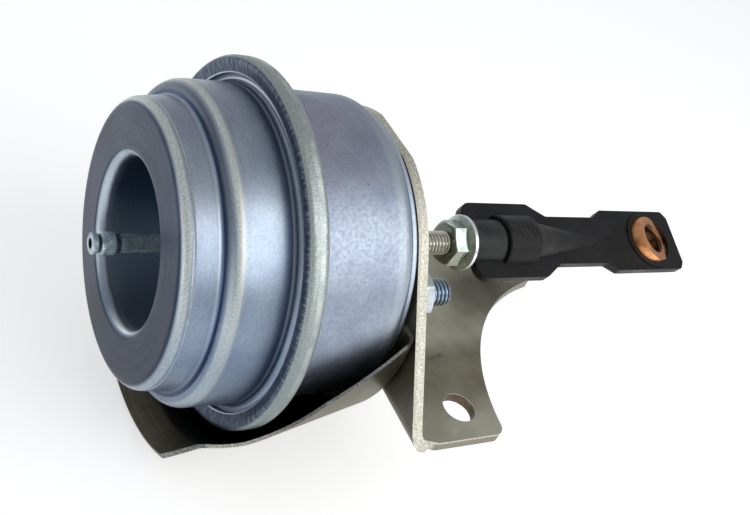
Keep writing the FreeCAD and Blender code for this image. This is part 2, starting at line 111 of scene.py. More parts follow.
# Places along the axis in mm, for the materials
nose_depth = 7.5
cover_depth = 20.6
sleeve_length = 10.5
block_length = 11.2
cover_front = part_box("vacuum_cover")[0].x / mm
shoulder_x = cover_front + nose_depth
rim_front = cover_front + cover_depth
can_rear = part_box("rear_can")[1].x / mm
pipe_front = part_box("vacuum_pipe")[0].x / mm
shield_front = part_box("heat_shield")[0].x / mm
shield_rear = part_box("heat_shield")[1].x / mm
nut_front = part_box("lock_nut")[0].x / mm
nut_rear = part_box("lock_nut")[1].x / mm
block_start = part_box("rod_end")[0].x / mm + sleeve_length
block_end = block_start + block_length

# Radii about the axis in mm
well_radius = 17.5
face_radius = 29.2
nose_radius = 30.1
wall_radius = 33.5
lip_radius = 35.7
rim_radius = 39.4
pipe_bore_radius = 1.0
nut_flat_radius = 5.0
nut_flange_radius = 7.1
sleeve_radius = 6.0
rod_radius = 3.0

# Bracket, with a painted shadow line across its foot
disc_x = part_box("bracket")[0].x
plate = 2.5 * mm
hole_radius = 3.9 * mm
shadow_line_y = 14.5 * mm
shadow_line_slope = 0.12
shadow_line_half_width = 0.35
shadow_line_start = -11.0
shadow_line_end = 3.0

# Shield: the trough's cut edges lie further than this to the side of the axis
cut_from_axis = 15.0 * mm

# Rod end and ball; the web's two faces are heights in the rod end's own axes
rod_end_turn = math.radians(22.2)
web_bottom = -0.7 * mm
web_top = 1.7 * mm
ball_tilt = math.radians(15.0)
ball_bore_radius = 3.75 * mm
ball_half_width = 2.5 * mm

# Turn from the height about the axis to the side that the light reaches
light_lean = 0.75

# Noise scales that several materials share, per metre
fine_grain = 4200.0
sparkle_grain = 5200.0
dull_grain = 3000.0


class Look:
    """A node material under construction, with short calls that add and link its nodes."""

    def __init__(self, name):
        self.material = bpy.data.materials.new(name)
        self.material.use_nodes = True
        self.tree = self.material.node_tree
        self.shader = self.tree.nodes["Principled BSDF"]
        spots = self.add("ShaderNodeTexCoord").outputs
        self.place = spots["Object"]
        self.normal = spots["Normal"]

    def add(self, kind, inputs=None, **settings):
        node = self.tree.nodes.new(kind)
        for key, value in settings.items():
            setattr(node, key, value)
        for key, value in (inputs or {}).items():
            self.join(value, node.inputs[key])
        return node

    def join(self, value, socket):
        if isinstance(value, bpy.types.NodeSocket):
            self.tree.links.new(value, socket)
        else:
            socket.default_value = value

    def set(self, **inputs):
        for key, value in inputs.items():
            self.join(value, self.shader.inputs[key.replace("_", " ")])

    def maths(self, operation, a, b=0.0, c=0.0):
        node = self.add("ShaderNodeMath", operation=operation)
        self.join(a, node.inputs[0])
        self.join(b, node.inputs[1])
        self.join(c, node.inputs[2])
        return node.outputs[0]

    def times(self, value, *others):
        for other in others:
            value = self.maths("MULTIPLY", value, other)
        return value

    def largest(self, value, *others):
        for other in others:
            value = self.maths("MAXIMUM", value, other)
        return value

    def minus(self, a, b):
        return self.maths("SUBTRACT", a, b)

    def length(self, a, b):
        return self.maths("SQRT", self.maths("MULTIPLY_ADD", a, a, self.times(b, b)))

    def vector(self, x, y, z):
        return self.add("ShaderNodeCombineXYZ", {"X": x, "Y": y, "Z": z}).outputs[0]

    def axes(self, source):
        """The x, y and z of a place or of a direction."""
        return self.add("ShaderNodeSeparateXYZ", {0: source}).outputs[:3]

    def noise(self, scale, detail, rough, place=None):
        node = self.add("ShaderNodeTexNoise", {"Scale": scale, "Detail": detail, "Roughness": rough,
                                               "Vector": self.place if place is None else place})
        return node.outputs["Fac"]

    def rise(self, value, low, high, to_low=0.0, to_high=1.0):
        """Maps low..high of a value to to_low..to_high, smoothly and clamped."""
        node = self.add("ShaderNodeMapRange", {"Value": value, "From Min": low, "From Max": high,
                                               "To Min": to_low, "To Max": to_high},
                        interpolation_type="SMOOTHSTEP")
        return node.outputs["Result"]

    def between(self, value, low, high, soft):
        """1 from low to high, fading to 0 over soft outside them."""
        return self.times(self.rise(value, low - soft, low), self.rise(value, high + soft, high))

    def patches(self, scale, detail, rough, low, high):
        """Noise drawn apart into soft patches."""
        return self.rise(self.noise(scale, detail, rough), low, high)

    def colour(self, value):
        return value if isinstance(value, bpy.types.NodeSocket) else (*value, 1.0)

    def mix(self, share, a, b, blend="MIX"):
        node = self.add("ShaderNodeMix", data_type="RGBA", blend_type=blend)
        self.join(share, node.inputs["Factor"])
        self.join(self.colour(a), node.inputs[6])
        self.join(self.colour(b), node.inputs[7])
        return node.outputs[2]

    def over(self, under, mask, most, top):
        """The colour top laid over the colour under by the mask, with a share of most where it is 1."""
        return self.mix(self.times(mask, most), under, top)

    def around_axis(self):
        """Place along the rod, angle about it and distance from it, in mm and radians."""
        x, y, z = self.axes(self.place)
        across = self.minus(y, axis_y)
        height = self.minus(z, axis_z)
        angle = self.maths("ARCTAN2", height, across)
        far = self.length(across, height)
        return self.maths("DIVIDE", x, mm), angle, self.maths("DIVIDE", far, mm)

    def lit(self, angle):
        """1 on the side of the can that the light reaches, -1 on the side away from it."""
        return self.maths("SINE", self.maths("ADD", angle, light_lean))

    def spun(self, along, angle, far, fine, length):
        """Noise drawn out round the axis, as turning and pressing leave it."""
        place = self.vector(self.times(along, fine), self.times(angle, length), self.times(far, fine))
        return self.noise(1.0, 3.0, 0.6, place)

    def rod_end_axes(self, y, z):
        """The rod end's own width and height of a place about its axis, or of a direction."""
        cosine = math.cos(rod_end_turn)
        sine = math.sin(rod_end_turn)
        wide = self.maths("MULTIPLY_ADD", y, cosine, self.times(z, sine))
        high = self.maths("MULTIPLY_ADD", z, cosine, self.times(y, -sine))
        return wide, high

    def bump(self, height, distance, strength, under=None):
        inputs = {"Height": height, "Distance": distance, "Strength": strength}
        if under is not None:
            inputs["Normal"] = under
        return self.add("ShaderNodeBump", inputs).outputs["Normal"]


def cover_zinc():
    """Blue passivated zinc on the front cover, region by region along the axis."""
    look = Look("cover_zinc")
    along, angle, far = look.around_axis()
    facing = look.maths("ABSOLUTE", look.axes(look.normal)[0])
    height = look.maths("SINE", angle)
    clouds = look.patches(60.0, 5.0, 0.62, 0.32, 0.7)
    patches = look.patches(26.0, 3.0, 0.55, 0.42, 0.66)
    streaks = look.spun(along, angle, far, 6.0, 2.0)
    mottle = look.noise(1900.0, 3.0, 0.7)
    grains = look.noise(fine_grain, 3.0, 0.7)
    sparkle = look.patches(sparkle_grain, 2.0, 0.6, 0.56, 0.68)

    # Walls: blue with lavender patches, pale streaks round them, dark mottling and pale grains
    colour = look.mix(clouds, (0.29, 0.36, 0.47), (0.44, 0.52, 0.60))
    colour = look.over(colour, patches, 0.5, (0.34, 0.32, 0.42))
    colour = look.mix(look.rise(streaks, 0.4, 0.75, 0.0, 0.18), colour, (0.60, 0.68, 0.74))
    colour = look.mix(look.rise(mottle, 0.48, 0.60, 0.0, 0.30), colour, (0.23, 0.29, 0.38))
    colour = look.over(colour, sparkle, 0.30, (0.82, 0.88, 0.92))

    # Front face: lavender, painted dark as shade, with turned rings
    on_face = look.times(look.between(far, well_radius + 1.4, face_radius - 1.0, 0.6),
                         look.rise(facing, 0.80, 0.95),
                         look.rise(along, cover_front + 1.2, cover_front + 0.6))
    across_rings = 3.2
    along_rings = 0.5
    ring_place = look.vector(look.times(far, across_rings), look.times(angle, along_rings), 0.0)
    rings = look.noise(1.0, 2.0, 0.6, ring_place)
    shaded_face_colour = look.mix(clouds, (0.028, 0.041, 0.070), (0.052, 0.071, 0.112))
    shaded_face_colour = look.mix(look.rise(rings, 0.45, 0.7, 0.0, 0.4), shaded_face_colour, (0.090, 0.112, 0.155))
    shaded_face_colour = look.over(shaded_face_colour, sparkle, 0.12, (0.20, 0.22, 0.27))
    colour = look.mix(on_face, colour, shaded_face_colour)

    # Corners: pale and grainy, partly their own tone and partly a painted highlight, fading both ways;
    # at the shoulder the painted highlight reaches further on the lower side
    nose_corner = look.times(look.between(facing, 0.38, 0.70, 0.20),
                             look.rise(far, face_radius - 2.2, face_radius - 1.4),
                             look.rise(along, cover_front + 2.7, cover_front + 2.3))
    shoulder_corner = look.times(look.between(facing, 0.15, 0.48, 0.18),
                                 look.between(along, shoulder_x + 0.3, shoulder_x + 2.9, 0.3))
    lower_corner = look.times(look.between(facing, 0.15, 0.80, 0.12), look.rise(height, 0.75, 0.2),
                              look.between(along, shoulder_x + 0.25, shoulder_x + 2.9, 0.2))
    corner = look.largest(nose_corner, shoulder_corner, lower_corner)
    # Pale grainy colour of the corners, partly a painted highlight
    pale = look.mix(look.rise(grains, 0.38, 0.62), (0.58, 0.62, 0.58), (0.97, 1.0, 0.96))
    colour = look.over(colour, corner, 0.85, pale)
    speckled = look.times(look.between(along, shoulder_x + 2.3, shoulder_x + 3.1, 0.7),
                          look.rise(grains, 0.50, 0.58))
    colour = look.over(colour, speckled, 0.45, (0.20, 0.22, 0.20))

    # Shoulder's face: painted shade, dark grey-teal above, with a dark blue groove painted as shade and
    # a painted highlight line at the nose's root
    face = look.times(look.rise(facing, 0.62, 0.88),
                      look.rise(far, nose_radius + 0.1, nose_radius + 0.4),
                      look.rise(along, shoulder_x - 0.12, shoulder_x),
                      look.rise(height, 0.2, 0.75))
    colour = look.over(colour, face, 0.85, (0.075, 0.10, 0.13))
    groove_shade = look.times(look.between(far, nose_radius - 0.1, nose_radius + 0.9, 0.35),
                        look.rise(along, shoulder_x - 0.3, shoulder_x - 0.1))
    colour = look.over(colour, groove_shade, 0.9, (0.038, 0.075, 0.17))
    root_highlight = look.times(look.between(along, shoulder_x - 0.85, shoulder_x - 0.50, 0.12),
                           look.rise(far, nose_radius + 1.9, nose_radius + 0.9))
    colour = look.over(colour, root_highlight, 0.55, (0.66, 0.76, 0.90))

    # Root of the wall: painted navy shade, and a painted highlight line on the flange beside the crimped
    # lip
    root_shade = look.between(along, rim_front - 1.5, rim_front - 1.15, 1.9)
    colour = look.over(colour, root_shade, 0.85, (0.10, 0.14, 0.24))
    flange_highlight = look.times(look.between(far, wall_radius + 1.0, wall_radius + 1.3, 0.15),
                             look.rise(along, rim_front - 1.6, rim_front - 0.8, 0.0, 0.6))
    root_edge_highlight = look.times(look.between(along, rim_front - 0.95, rim_front - 0.40, 0.15),
                           look.rise(far, wall_radius + 0.9, wall_radius + 0.7))
    colour = look.over(colour, look.largest(flange_highlight, root_edge_highlight), 0.95, (0.86, 0.92, 1.0))

    # Less light from below
    low = look.rise(look.lit(angle), -0.05, -0.80)
    colour = look.mix(low, colour, (0.48, 0.54, 0.62), "MULTIPLY")

    # Well: painted shade, dark above and blue-grey below, with a painted highlight on the lip on the
    # near side
    well_shade = look.times(look.rise(far, well_radius + 0.7, well_radius),
                      look.rise(along, cover_front + 1.0, cover_front + 3.0))
    well_shade_colour = look.mix(look.rise(height, 0.0, -0.8), (0.055, 0.10, 0.17), (0.50, 0.58, 0.66))
    colour = look.over(colour, well_shade, 0.9, well_shade_colour)
    painted_lip = look.times(look.rise(far, well_radius + 0.9, well_radius + 0.5),
                     look.rise(along, cover_front + 3.6, cover_front + 2.4),
                     look.rise(look.maths("COSINE", angle), 0.1, -0.6, 0.15, 1.0))
    colour = look.over(colour, painted_lip, 0.9, (0.94, 0.99, 1.0))

    roughness = look.rise(streaks, 0.3, 0.7, 0.34, 0.42)
    roughness = look.maths("MULTIPLY_ADD", corner, 0.06, roughness)
    look.set(Base_Color=colour, Metallic=1.0, Roughness=roughness)
    normal = look.bump(streaks, 0.05 * mm, 0.25)
    look.set(Normal=look.bump(grains, 0.04 * mm, 0.6, normal))
    return look.material


def rear_zinc():
    """The same plating on the rear can, with the crimped rim and a painted highlight on the step at its
    end.
    """
    look = Look("rear_zinc")
    along, angle, far = look.around_axis()
    facing = look.maths("ABSOLUTE", look.axes(look.normal)[0])
    lit = look.lit(angle)
    clouds = look.patches(90.0, 5.0, 0.65, 0.3, 0.7)
    patches = look.patches(30.0, 4.0, 0.6, 0.4, 0.62)
    mottle = look.noise(1300.0, 4.0, 0.7)
    grains = look.noise(fine_grain, 3.0, 0.7)
    sparkle = look.patches(sparkle_grain, 2.0, 0.6, 0.55, 0.68)
    specks = look.patches(900.0, 2.0, 0.5, 0.70, 0.74)

    # Wall: blue with lavender patches, most where the light reaches, mottling, grains and specks
    colour = look.mix(clouds, (0.29, 0.34, 0.44), (0.41, 0.47, 0.56))
    lavender = look.times(patches, look.rise(lit, 0.0, 1.0, 0.3, 0.8))
    colour = look.mix(lavender, colour, (0.42, 0.37, 0.48))
    colour = look.mix(look.rise(mottle, 0.45, 0.60, 0.0, 0.30), colour, (0.24, 0.28, 0.38))
    colour = look.over(colour, sparkle, 0.28, (0.76, 0.80, 0.88))
    colour = look.over(colour, specks, 0.5, (0.12, 0.14, 0.20))

    # Rim: pale band with a worn line and nicks, painted darker as shade away from the light, and a lip
    # in front painted dark as shade, hatched by the rolling tool, with a painted highlight on its edge
    across_hatch = 150.0
    along_hatch = 0.3
    hatch_place = look.vector(look.times(angle, across_hatch), look.times(far, along_hatch),
                              look.times(along, along_hatch))
    hatch = look.noise(1.0, 3.0, 0.7, hatch_place)
    rim = look.rise(far, rim_radius - 1.5, rim_radius - 0.8)
    band = look.mix(look.rise(grains, 0.40, 0.62), (0.36, 0.40, 0.38), (0.56, 0.62, 0.59))
    band = look.mix(look.rise(hatch, 0.55, 0.72, 0.0, 0.3), band, (0.26, 0.30, 0.33))
    worn = look.times(look.between(along, rim_front + 1.7, rim_front + 2.5, 0.3),
                      look.patches(140.0, 4.0, 0.6, 0.38, 0.58))
    band = look.over(band, worn, 0.6, (0.84, 0.88, 0.84))
    # Rim band painted darker as shade on the side away from the light
    band = look.mix(look.rise(lit, -0.05, -0.80, 0.0, 0.65), band, (0.15, 0.18, 0.19))
    colour = look.over(colour, rim, 0.9, band)
    # Lip in front painted dark as shade, with the rolling tool's hatch
    painted_lip = look.times(look.rise(facing, 0.70, 0.88), look.rise(far, lip_radius + 0.15, lip_radius + 0.3),
                     look.rise(along, rim_front + 1.9, rim_front + 1.3))
    lip_shade_and_hatch = look.mix(look.rise(hatch, 0.44, 0.64), (0.040, 0.055, 0.095), (0.21, 0.25, 0.32))
    colour = look.over(colour, painted_lip, 0.94, lip_shade_and_hatch)
    # Painted highlight on the lip's edge
    lip_edge_highlight = look.times(look.rise(far, lip_radius + 0.3, lip_radius + 0.15),
                         look.rise(along, rim_front + 2.0, rim_front + 1.4))
    colour = look.over(colour, lip_edge_highlight, 0.8, (0.70, 0.76, 0.82))

    # Rear corner: a little paler
    corner = look.between(along, can_rear - 4.6, can_rear - 2.6, 1.2)
    colour = look.over(colour, corner, 0.5, (0.52, 0.58, 0.62))

    # Step at the rear end: blue with a painted highlight, behind a crease painted dark as shade
    step = look.rise(along, can_rear - 1.25, can_rear - 0.95)
    crease_shade = look.between(along, can_rear - 1.7, can_rear - 1.25, 0.15)
    colour = look.over(colour, step, 0.8, (0.56, 0.66, 0.78))
    colour = look.over(colour, crease_shade, 0.8, (0.06, 0.09, 0.17))

    look.set(Base_Color=colour, Metallic=1.0, Roughness=look.rise(mottle, 0.35, 0.65, 0.42, 0.52))
    normal = look.bump(mottle, 0.06 * mm, 0.5)
    normal = look.bump(look.times(hatch, rim), 0.10 * mm, 0.45, normal)
    look.set(Normal=look.bump(grains, 0.04 * mm, 0.6, normal))
    return look.material


def plate_steel():
    """The bracket's olive-grey plating, with pale grainy sheared edges."""
    look = Look("plate_steel")
    x, y, z = look.axes(look.place)
    directions = look.axes(look.normal)
    facing_can_shade = look.rise(directions[0], -0.6, -0.9)
    nx, ny, nz = [look.maths("ABSOLUTE", direction) for direction in directions]
    clouds = look.patches(75.0, 5.0, 0.6, 0.3, 0.7)
    smears = look.patches(30.0, 3.0, 0.6, 0.4, 0.65)
    grains = look.noise(2600.0, 3.0, 0.65)
    crystals = look.noise(2300.0, 4.0, 0.75)

    # Faces: olive-grey, painted paler as light on both sides of the painted shadow line, and painted
    # dark as shade where they face the can
    colour = look.mix(clouds, (0.19, 0.172, 0.118), (0.33, 0.30, 0.22))
    colour = look.over(colour, smears, 0.4, (0.28, 0.28, 0.25))
    colour = look.mix(look.rise(grains, 0.45, 0.7, 0.0, 0.35), colour, (0.17, 0.16, 0.12))
    # Painted light: paler faces on both sides of the painted shadow line
    pale = look.largest(look.rise(y, shadow_line_y - 6.5 * mm, shadow_line_y - 18.5 * mm, 0.0, 0.75),
                        look.rise(y, shadow_line_y - 0.5 * mm, shadow_line_y + 7.5 * mm))
    colour = look.mix(pale, colour, look.mix(clouds, (0.46, 0.43, 0.34), (0.64, 0.60, 0.49)))
    # Painted shade on the faces that face the can
    dark = look.mix(clouds, (0.055, 0.052, 0.044), (0.11, 0.105, 0.09))
    colour = look.over(colour, facing_can_shade, 0.75, dark)

    # A painted shadow line across the foot
    beside_shadow_line = look.maths("MULTIPLY_ADD", x, -shadow_line_slope, look.minus(y, shadow_line_y))
    beside_shadow_line = look.maths("DIVIDE", beside_shadow_line, mm)
    shadow_line = look.times(look.between(beside_shadow_line, -shadow_line_half_width, shadow_line_half_width, shadow_line_half_width),
                      look.between(look.maths("DIVIDE", x, mm), shadow_line_start, shadow_line_end, 2.0),
                      look.patches(500.0, 3.0, 0.6, 0.38, 0.6))
    colour = look.over(colour, shadow_line, 0.6, (0.08, 0.07, 0.055))

    # Sheared edges on both sides of the fold, brighter round the disc than round the foot
    upright = look.rise(z, plate + 2.5 * mm, plate + 4.0 * mm)
    on_foot = look.rise(x, disc_x + 5.2 * mm, disc_x + 6.2 * mm)
    disc_edge = look.times(upright, look.rise(nx, 0.5, 0.2))
    foot_edge = look.times(on_foot, look.rise(nz, 0.5, 0.2))
    edge = look.largest(disc_edge, foot_edge, look.rise(ny, 0.3, 0.6))
    torn = look.rise(crystals, 0.38, 0.60)
    edge_colour = look.mix(torn, (0.46, 0.44, 0.35), (0.76, 0.75, 0.65))
    front = look.rise(x, disc_x + 0.9 * mm, disc_x + 0.5 * mm, 0.0, 0.45)
    edge_colour = look.mix(look.times(front, upright), edge_colour, (0.44, 0.42, 0.36))
    lower = look.largest(look.rise(z, plate - 0.4 * mm, plate - 0.7 * mm),
                         look.rise(y, shadow_line_y - 8.5 * mm, shadow_line_y - 0.5 * mm))
    edge_colour = look.over(edge_colour, look.times(on_foot, lower), 0.85, (0.24, 0.215, 0.155))
    colour = look.mix(edge, colour, edge_colour)

    # Wall of the bolt hole: painted dark brown as shade under a bright rim
    hole_shade = look.times(look.rise(look.length(x, y), hole_radius + 0.25 * mm, hole_radius + 0.15 * mm),
                         look.rise(z, plate - 0.05 * mm, plate - 0.25 * mm))
    colour = look.mix(hole_shade, colour, look.mix(torn, (0.075, 0.050, 0.030), (0.20, 0.155, 0.10)))

    look.set(Base_Color=colour, Metallic=0.8)
    roughness = look.rise(clouds, 0.0, 1.0, 0.38, 0.48)
    look.set(Roughness=look.maths("MULTIPLY_ADD", edge, 0.06, roughness))
    normal = look.bump(look.times(crystals, edge), 0.10 * mm, 0.7)
    look.set(Normal=look.bump(grains, 0.04 * mm, 0.45, normal))
    return look.material


def shield_steel():
    """The heat shield's thin brown-grey sheet, painted dark as shade inside, with bright cut edges."""
    look = Look("shield_steel")
    y = look.axes(look.place)[1]
    ny, nz = look.axes(look.normal)[1:]
    along, angle, far = look.around_axis()
    clouds = look.patches(70.0, 5.0, 0.62, 0.3, 0.7)
    grains = look.noise(dull_grain, 3.0, 0.65)
    streaks = look.spun(along, angle, far, 2.0, 3.0)
    colour = look.mix(clouds, (0.105, 0.095, 0.066), (0.20, 0.18, 0.13))
    colour = look.mix(look.rise(streaks, 0.45, 0.75, 0.0, 0.35), colour, (0.26, 0.24, 0.18))

    # Inside: painted shade, apart from a khaki band along the front lip
    upward = look.times(nz, look.maths("SINE", angle))
    outward = look.maths("MULTIPLY_ADD", ny, look.maths("COSINE", angle), upward)
    shaded_inside = look.rise(outward, -0.2, -0.6)
    wander = 1.5
    behind_lip = look.maths("MULTIPLY_ADD", clouds, wander, along)
    behind_lip = look.rise(behind_lip, shield_front + 5.2, shield_front + 9.2)
    inside_shade_colour = look.mix(clouds, (0.003, 0.003, 0.003), (0.012, 0.012, 0.010))
    colour = look.over(colour, look.times(shaded_inside, behind_lip), 0.93, inside_shade_colour)

    # Cut edges along the trough's two sides
    from_axis = look.maths("ABSOLUTE", look.minus(y, axis_y))
    aside = look.rise(from_axis, cut_from_axis, cut_from_axis + 3.0 * mm)
    flat = look.times(look.rise(look.maths("ABSOLUTE", ny), 0.06, 0.03),
                      look.rise(look.maths("ABSOLUTE", nz), 0.3, 0.4))
    cut = look.times(aside, flat, look.rise(along, shield_rear - 1.3, shield_rear - 2.3))
    cut_colour = look.mix(look.rise(grains, 0.4, 0.60), (0.40, 0.38, 0.31), (0.86, 0.84, 0.74))
    colour = look.over(colour, cut, 0.9, cut_colour)
    look.set(Base_Color=colour, Metallic=1.0)
    look.set(Roughness=look.rise(clouds, 0.0, 1.0, 0.36, 0.50))
    look.set(Normal=look.bump(grains, 0.03 * mm, 0.4))
    return look.material


def forged_black():
    """The rod end's black phosphate, with rubbed edges, grooves round the block painted dark as shade,
    and tool marks on it.
    """
    look = Look("forged_black")
    x, y, z = look.axes(look.place)
    along, _, far = look.around_axis()
    wide, high = look.rod_end_axes(look.minus(y, axis_y), look.minus(z, axis_z))
    facing_up = look.rod_end_axes(*look.axes(look.normal)[1:])[1]
    clouds = look.patches(110.0, 5.0, 0.62, 0.3, 0.7)
    grains = look.noise(2200.0, 4.0, 0.7)
    colour = look.mix(clouds, (0.005, 0.005, 0.006), (0.013, 0.013, 0.014))
    scale = look.patches(420.0, 4.0, 0.7, 0.55, 0.75)
    colour = look.over(colour, scale, 0.5, (0.030, 0.029, 0.028))
    colour = look.mix(look.rise(grains, 0.56, 0.68, 0.0, 0.3), colour, (0.050, 0.050, 0.048))

    # Worn light line along the lower edges of the web
    side_wall = look.rise(look.maths("ABSOLUTE", facing_up), 0.4, 0.2)
    low_edge = look.rise(high, web_bottom + 0.4 * mm, web_bottom + 0.2 * mm)
    worn = look.times(side_wall, low_edge, look.patches(260.0, 3.0, 0.6, 0.35, 0.5))
    colour = look.over(colour, worn, 0.35, (0.30, 0.29, 0.26))

    # Block: scored by the tool
    off_web = look.rise(look.maths("ABSOLUTE", high), web_top + 0.2 * mm, web_top + 0.6 * mm)
    on_block = look.times(look.between(along, block_start + 0.5, block_end - 0.5, 0.3), off_web)
    across_scores = 1300.0
    along_scores = 120.0
    scored_place = look.vector(look.times(look.maths("ADD", x, wide), across_scores),
                               look.times(look.minus(x, wide), along_scores),
                               look.times(high, along_scores))
    scored = look.rise(look.noise(1.0, 3.0, 0.6, scored_place), 0.5, 0.64)
    scored = look.times(scored, on_block, look.rise(wide, -4.0 * mm, 2.0 * mm))
    colour = look.over(colour, scored, 0.45, (0.085, 0.083, 0.080))

    # Sleeve in front of the block and ridge behind it: greyer
    sleeve = look.times(look.rise(along, block_start, block_start - 0.3), off_web)
    sleeve_colour = look.mix(clouds, (0.020, 0.022, 0.022), (0.055, 0.060, 0.058))
    colour = look.over(colour, sleeve, 0.7, sleeve_colour)
    ridge = look.times(look.rise(along, block_end + 0.2, block_end + 0.6),
                       look.rise(far, rod_radius - 0.4, rod_radius + 0.4), off_web,
                       look.rise(along, block_end + 20.0, block_end + 2.0))
    ridge_colour = look.mix(clouds, (0.020, 0.020, 0.019), (0.070, 0.068, 0.064))
    colour = look.over(colour, ridge, 0.6, ridge_colour)

    # Grooves at the block's two ends, painted dark as shade
    groove_shade = look.largest(look.between(along, block_start - 0.25, block_start + 0.15, 0.12),
                          look.between(along, block_end - 0.1, block_end + 0.3, 0.12))
    past_sleeve = look.rise(far, sleeve_radius - 0.4, sleeve_radius + 0.2)
    groove_shade = look.times(groove_shade, look.times(past_sleeve, off_web))
    colour = look.over(colour, groove_shade, 0.9, (0.002, 0.002, 0.002))

    look.set(Base_Color=colour, Metallic=0.0, Specular_IOR_Level=0.24)
    roughness = look.rise(clouds, 0.0, 1.0, 0.26, 0.40)
    look.set(Roughness=look.maths("MULTIPLY_ADD", grains, 0.22, roughness))
    normal = look.bump(look.noise(300.0, 5.0, 0.7), 0.18 * mm, 0.5)
    normal = look.bump(scored, 0.10 * mm, 0.6, normal)
    look.set(Normal=look.bump(grains, 0.05 * mm, 0.5, normal))
    return look.material


def pipe_zinc():
    """The hose pipe: pale plating, painted dark as shade behind its tip, behind its barb and in its
    bore.
    """
    look = Look("pipe_zinc")
    along, _, far = look.around_axis()
    clouds = look.patches(300.0, 4.0, 0.65, 0.3, 0.7)
    grains = look.noise(3800.0, 3.0, 0.7)
    colour = look.mix(clouds, (0.34, 0.44, 0.50), (0.72, 0.82, 0.86))
    # Painted shade behind the tip, behind the barb and in the bore
    neck = look.between(along, pipe_front + 1.25, pipe_front + 1.75, 0.15)
    behind_barb = look.between(along, pipe_front + 4.75, pipe_front + 5.6, 0.25)
    pipe_bore_shade = look.rise(far, pipe_bore_radius + 0.3, pipe_bore_radius + 0.05)
    colour = look.over(colour, look.largest(neck, behind_barb, pipe_bore_shade), 0.92, (0.035, 0.050, 0.070))
    patina = look.times(look.patches(420.0, 3.0, 0.6, 0.50, 0.62),
                        look.rise(along, pipe_front + 13.2, pipe_front + 9.2))
    colour = look.over(colour, patina, 0.55, (0.14, 0.20, 0.24))
    look.set(Base_Color=colour, Metallic=0.6, Roughness=look.rise(grains, 0.3, 0.7, 0.18, 0.32))
    look.set(Normal=look.bump(grains, 0.02 * mm, 0.5))
    return look.material


def thread_metal(name, node, crest, valley, rough):
    """A thread's plating, painted bright on the crests as a highlight and painted dark in the valleys as
    shade.
    """
    look = Look(name)
    y, z = look.axes(look.place)[1:]
    middle = node_middle(node)
    far = look.length(look.minus(y, middle.y), look.minus(z, middle.z))
    grains = look.noise(dull_grain, 3.0, 0.65)
    # Painted highlight on the crests, painted shade in the valleys
    top = look.rise(far, thread_radius - 0.45 * mm, thread_radius - 0.08 * mm)
    colour = look.mix(top, valley, crest)
    colour = look.mix(look.rise(grains, 0.48, 0.66, 0.0, 0.3), colour, valley)
    look.set(Base_Color=colour, Metallic=1.0, Roughness=look.rise(grains, 0.3, 0.7, rough, rough + 0.12))
    look.set(Normal=look.bump(grains, 0.02 * mm, 0.5))
    return look.material


def lock_nut_zinc():
    """Bright zinc on the flanged nut: a front face painted dark as shade, speckled flats and a flange
    rim with a painted highlight.
    """
    look = Look("lock_nut_zinc")
    along, _, far = look.around_axis()
    clouds = look.patches(260.0, 4.0, 0.65, 0.3, 0.7)
    grains = look.noise(3400.0, 3.0, 0.7)
    colour = look.mix(clouds, (0.34, 0.42, 0.37), (0.74, 0.82, 0.78))
    colour = look.mix(look.rise(grains, 0.46, 0.62, 0.0, 0.45), colour, (0.96, 0.98, 0.97))
    # Front face painted dark as shade
    front = look.times(look.rise(along, nut_front + 0.5, nut_front + 0.2),
                       look.rise(far, nut_flat_radius + 0.6, nut_flat_radius + 0.2))
    colour = look.over(colour, front, 0.9, (0.15, 0.165, 0.14))
    slope = look.between(along, nut_rear - 2.1, nut_rear - 1.15, 0.15)
    colour = look.over(colour, slope, 0.4, (0.20, 0.25, 0.22))
    # Flange rim: painted highlight
    flange_rim_highlight = look.times(look.rise(along, nut_rear - 1.2, nut_rear - 1.0),
                            look.rise(far, nut_flange_radius - 0.5, nut_flange_radius - 0.2))
    colour = look.over(colour, flange_rim_highlight, 0.9, (0.96, 1.0, 0.98))
    look.set(Base_Color=colour, Metallic=1.0, Roughness=look.rise(grains, 0.3, 0.7, 0.20, 0.34))
    look.set(Normal=look.bump(grains, 0.02 * mm, 0.5))
    return look.material


def ball_bronze():
    """The bronze ball: orange round its mouth, painted dark as shade in the bore, and dark on the far
    side.
    """
    look = Look("ball_bronze")
    x, y, z = look.axes(look.place)
    wide, high = look.rod_end_axes(look.minus(y, eye_middle.y), look.minus(z, eye_middle.z))
    ahead = look.minus(x, eye_middle.x)
    cosine = math.cos(ball_tilt)
    sine = math.sin(ball_tilt)
    depth = look.maths("MULTIPLY_ADD", high, cosine, look.times(ahead, sine))
    across = look.maths("MULTIPLY_ADD", ahead, cosine, look.times(high, -sine))
    far = look.length(across, wide)
    clouds = look.patches(360.0, 4.0, 0.65, 0.3, 0.7)
    grains = look.noise(dull_grain, 3.0, 0.65)
    colour = look.mix(clouds, (0.62, 0.25, 0.09), (0.96, 0.48, 0.22))
    # Bore painted dark as shade
    bore_shade = look.times(look.rise(far, ball_bore_radius + 1.0 * mm, ball_bore_radius + 0.7 * mm),
                      look.rise(depth, ball_half_width + 0.1 * mm, ball_half_width - 0.2 * mm))
    bore_shade_colour = look.mix(clouds, (0.050, 0.022, 0.014), (0.13, 0.060, 0.035))
    colour = look.over(colour, bore_shade, 0.93, bore_shade_colour)
    # Darker on the ball's far side
    dark_far_side = look.times(look.rise(depth, ball_half_width - 0.3 * mm, ball_half_width - 0.9 * mm),
                        look.rise(across, ball_bore_radius - 1.75 * mm, ball_bore_radius + 0.75 * mm))
    colour = look.over(colour, dark_far_side, 0.85, (0.060, 0.030, 0.018))
    look.set(Base_Color=colour, Metallic=1.0, Roughness=look.rise(clouds, 0.0, 1.0, 0.22, 0.36))
    look.set(Normal=look.bump(grains, 0.02 * mm, 0.5))
    return look.material


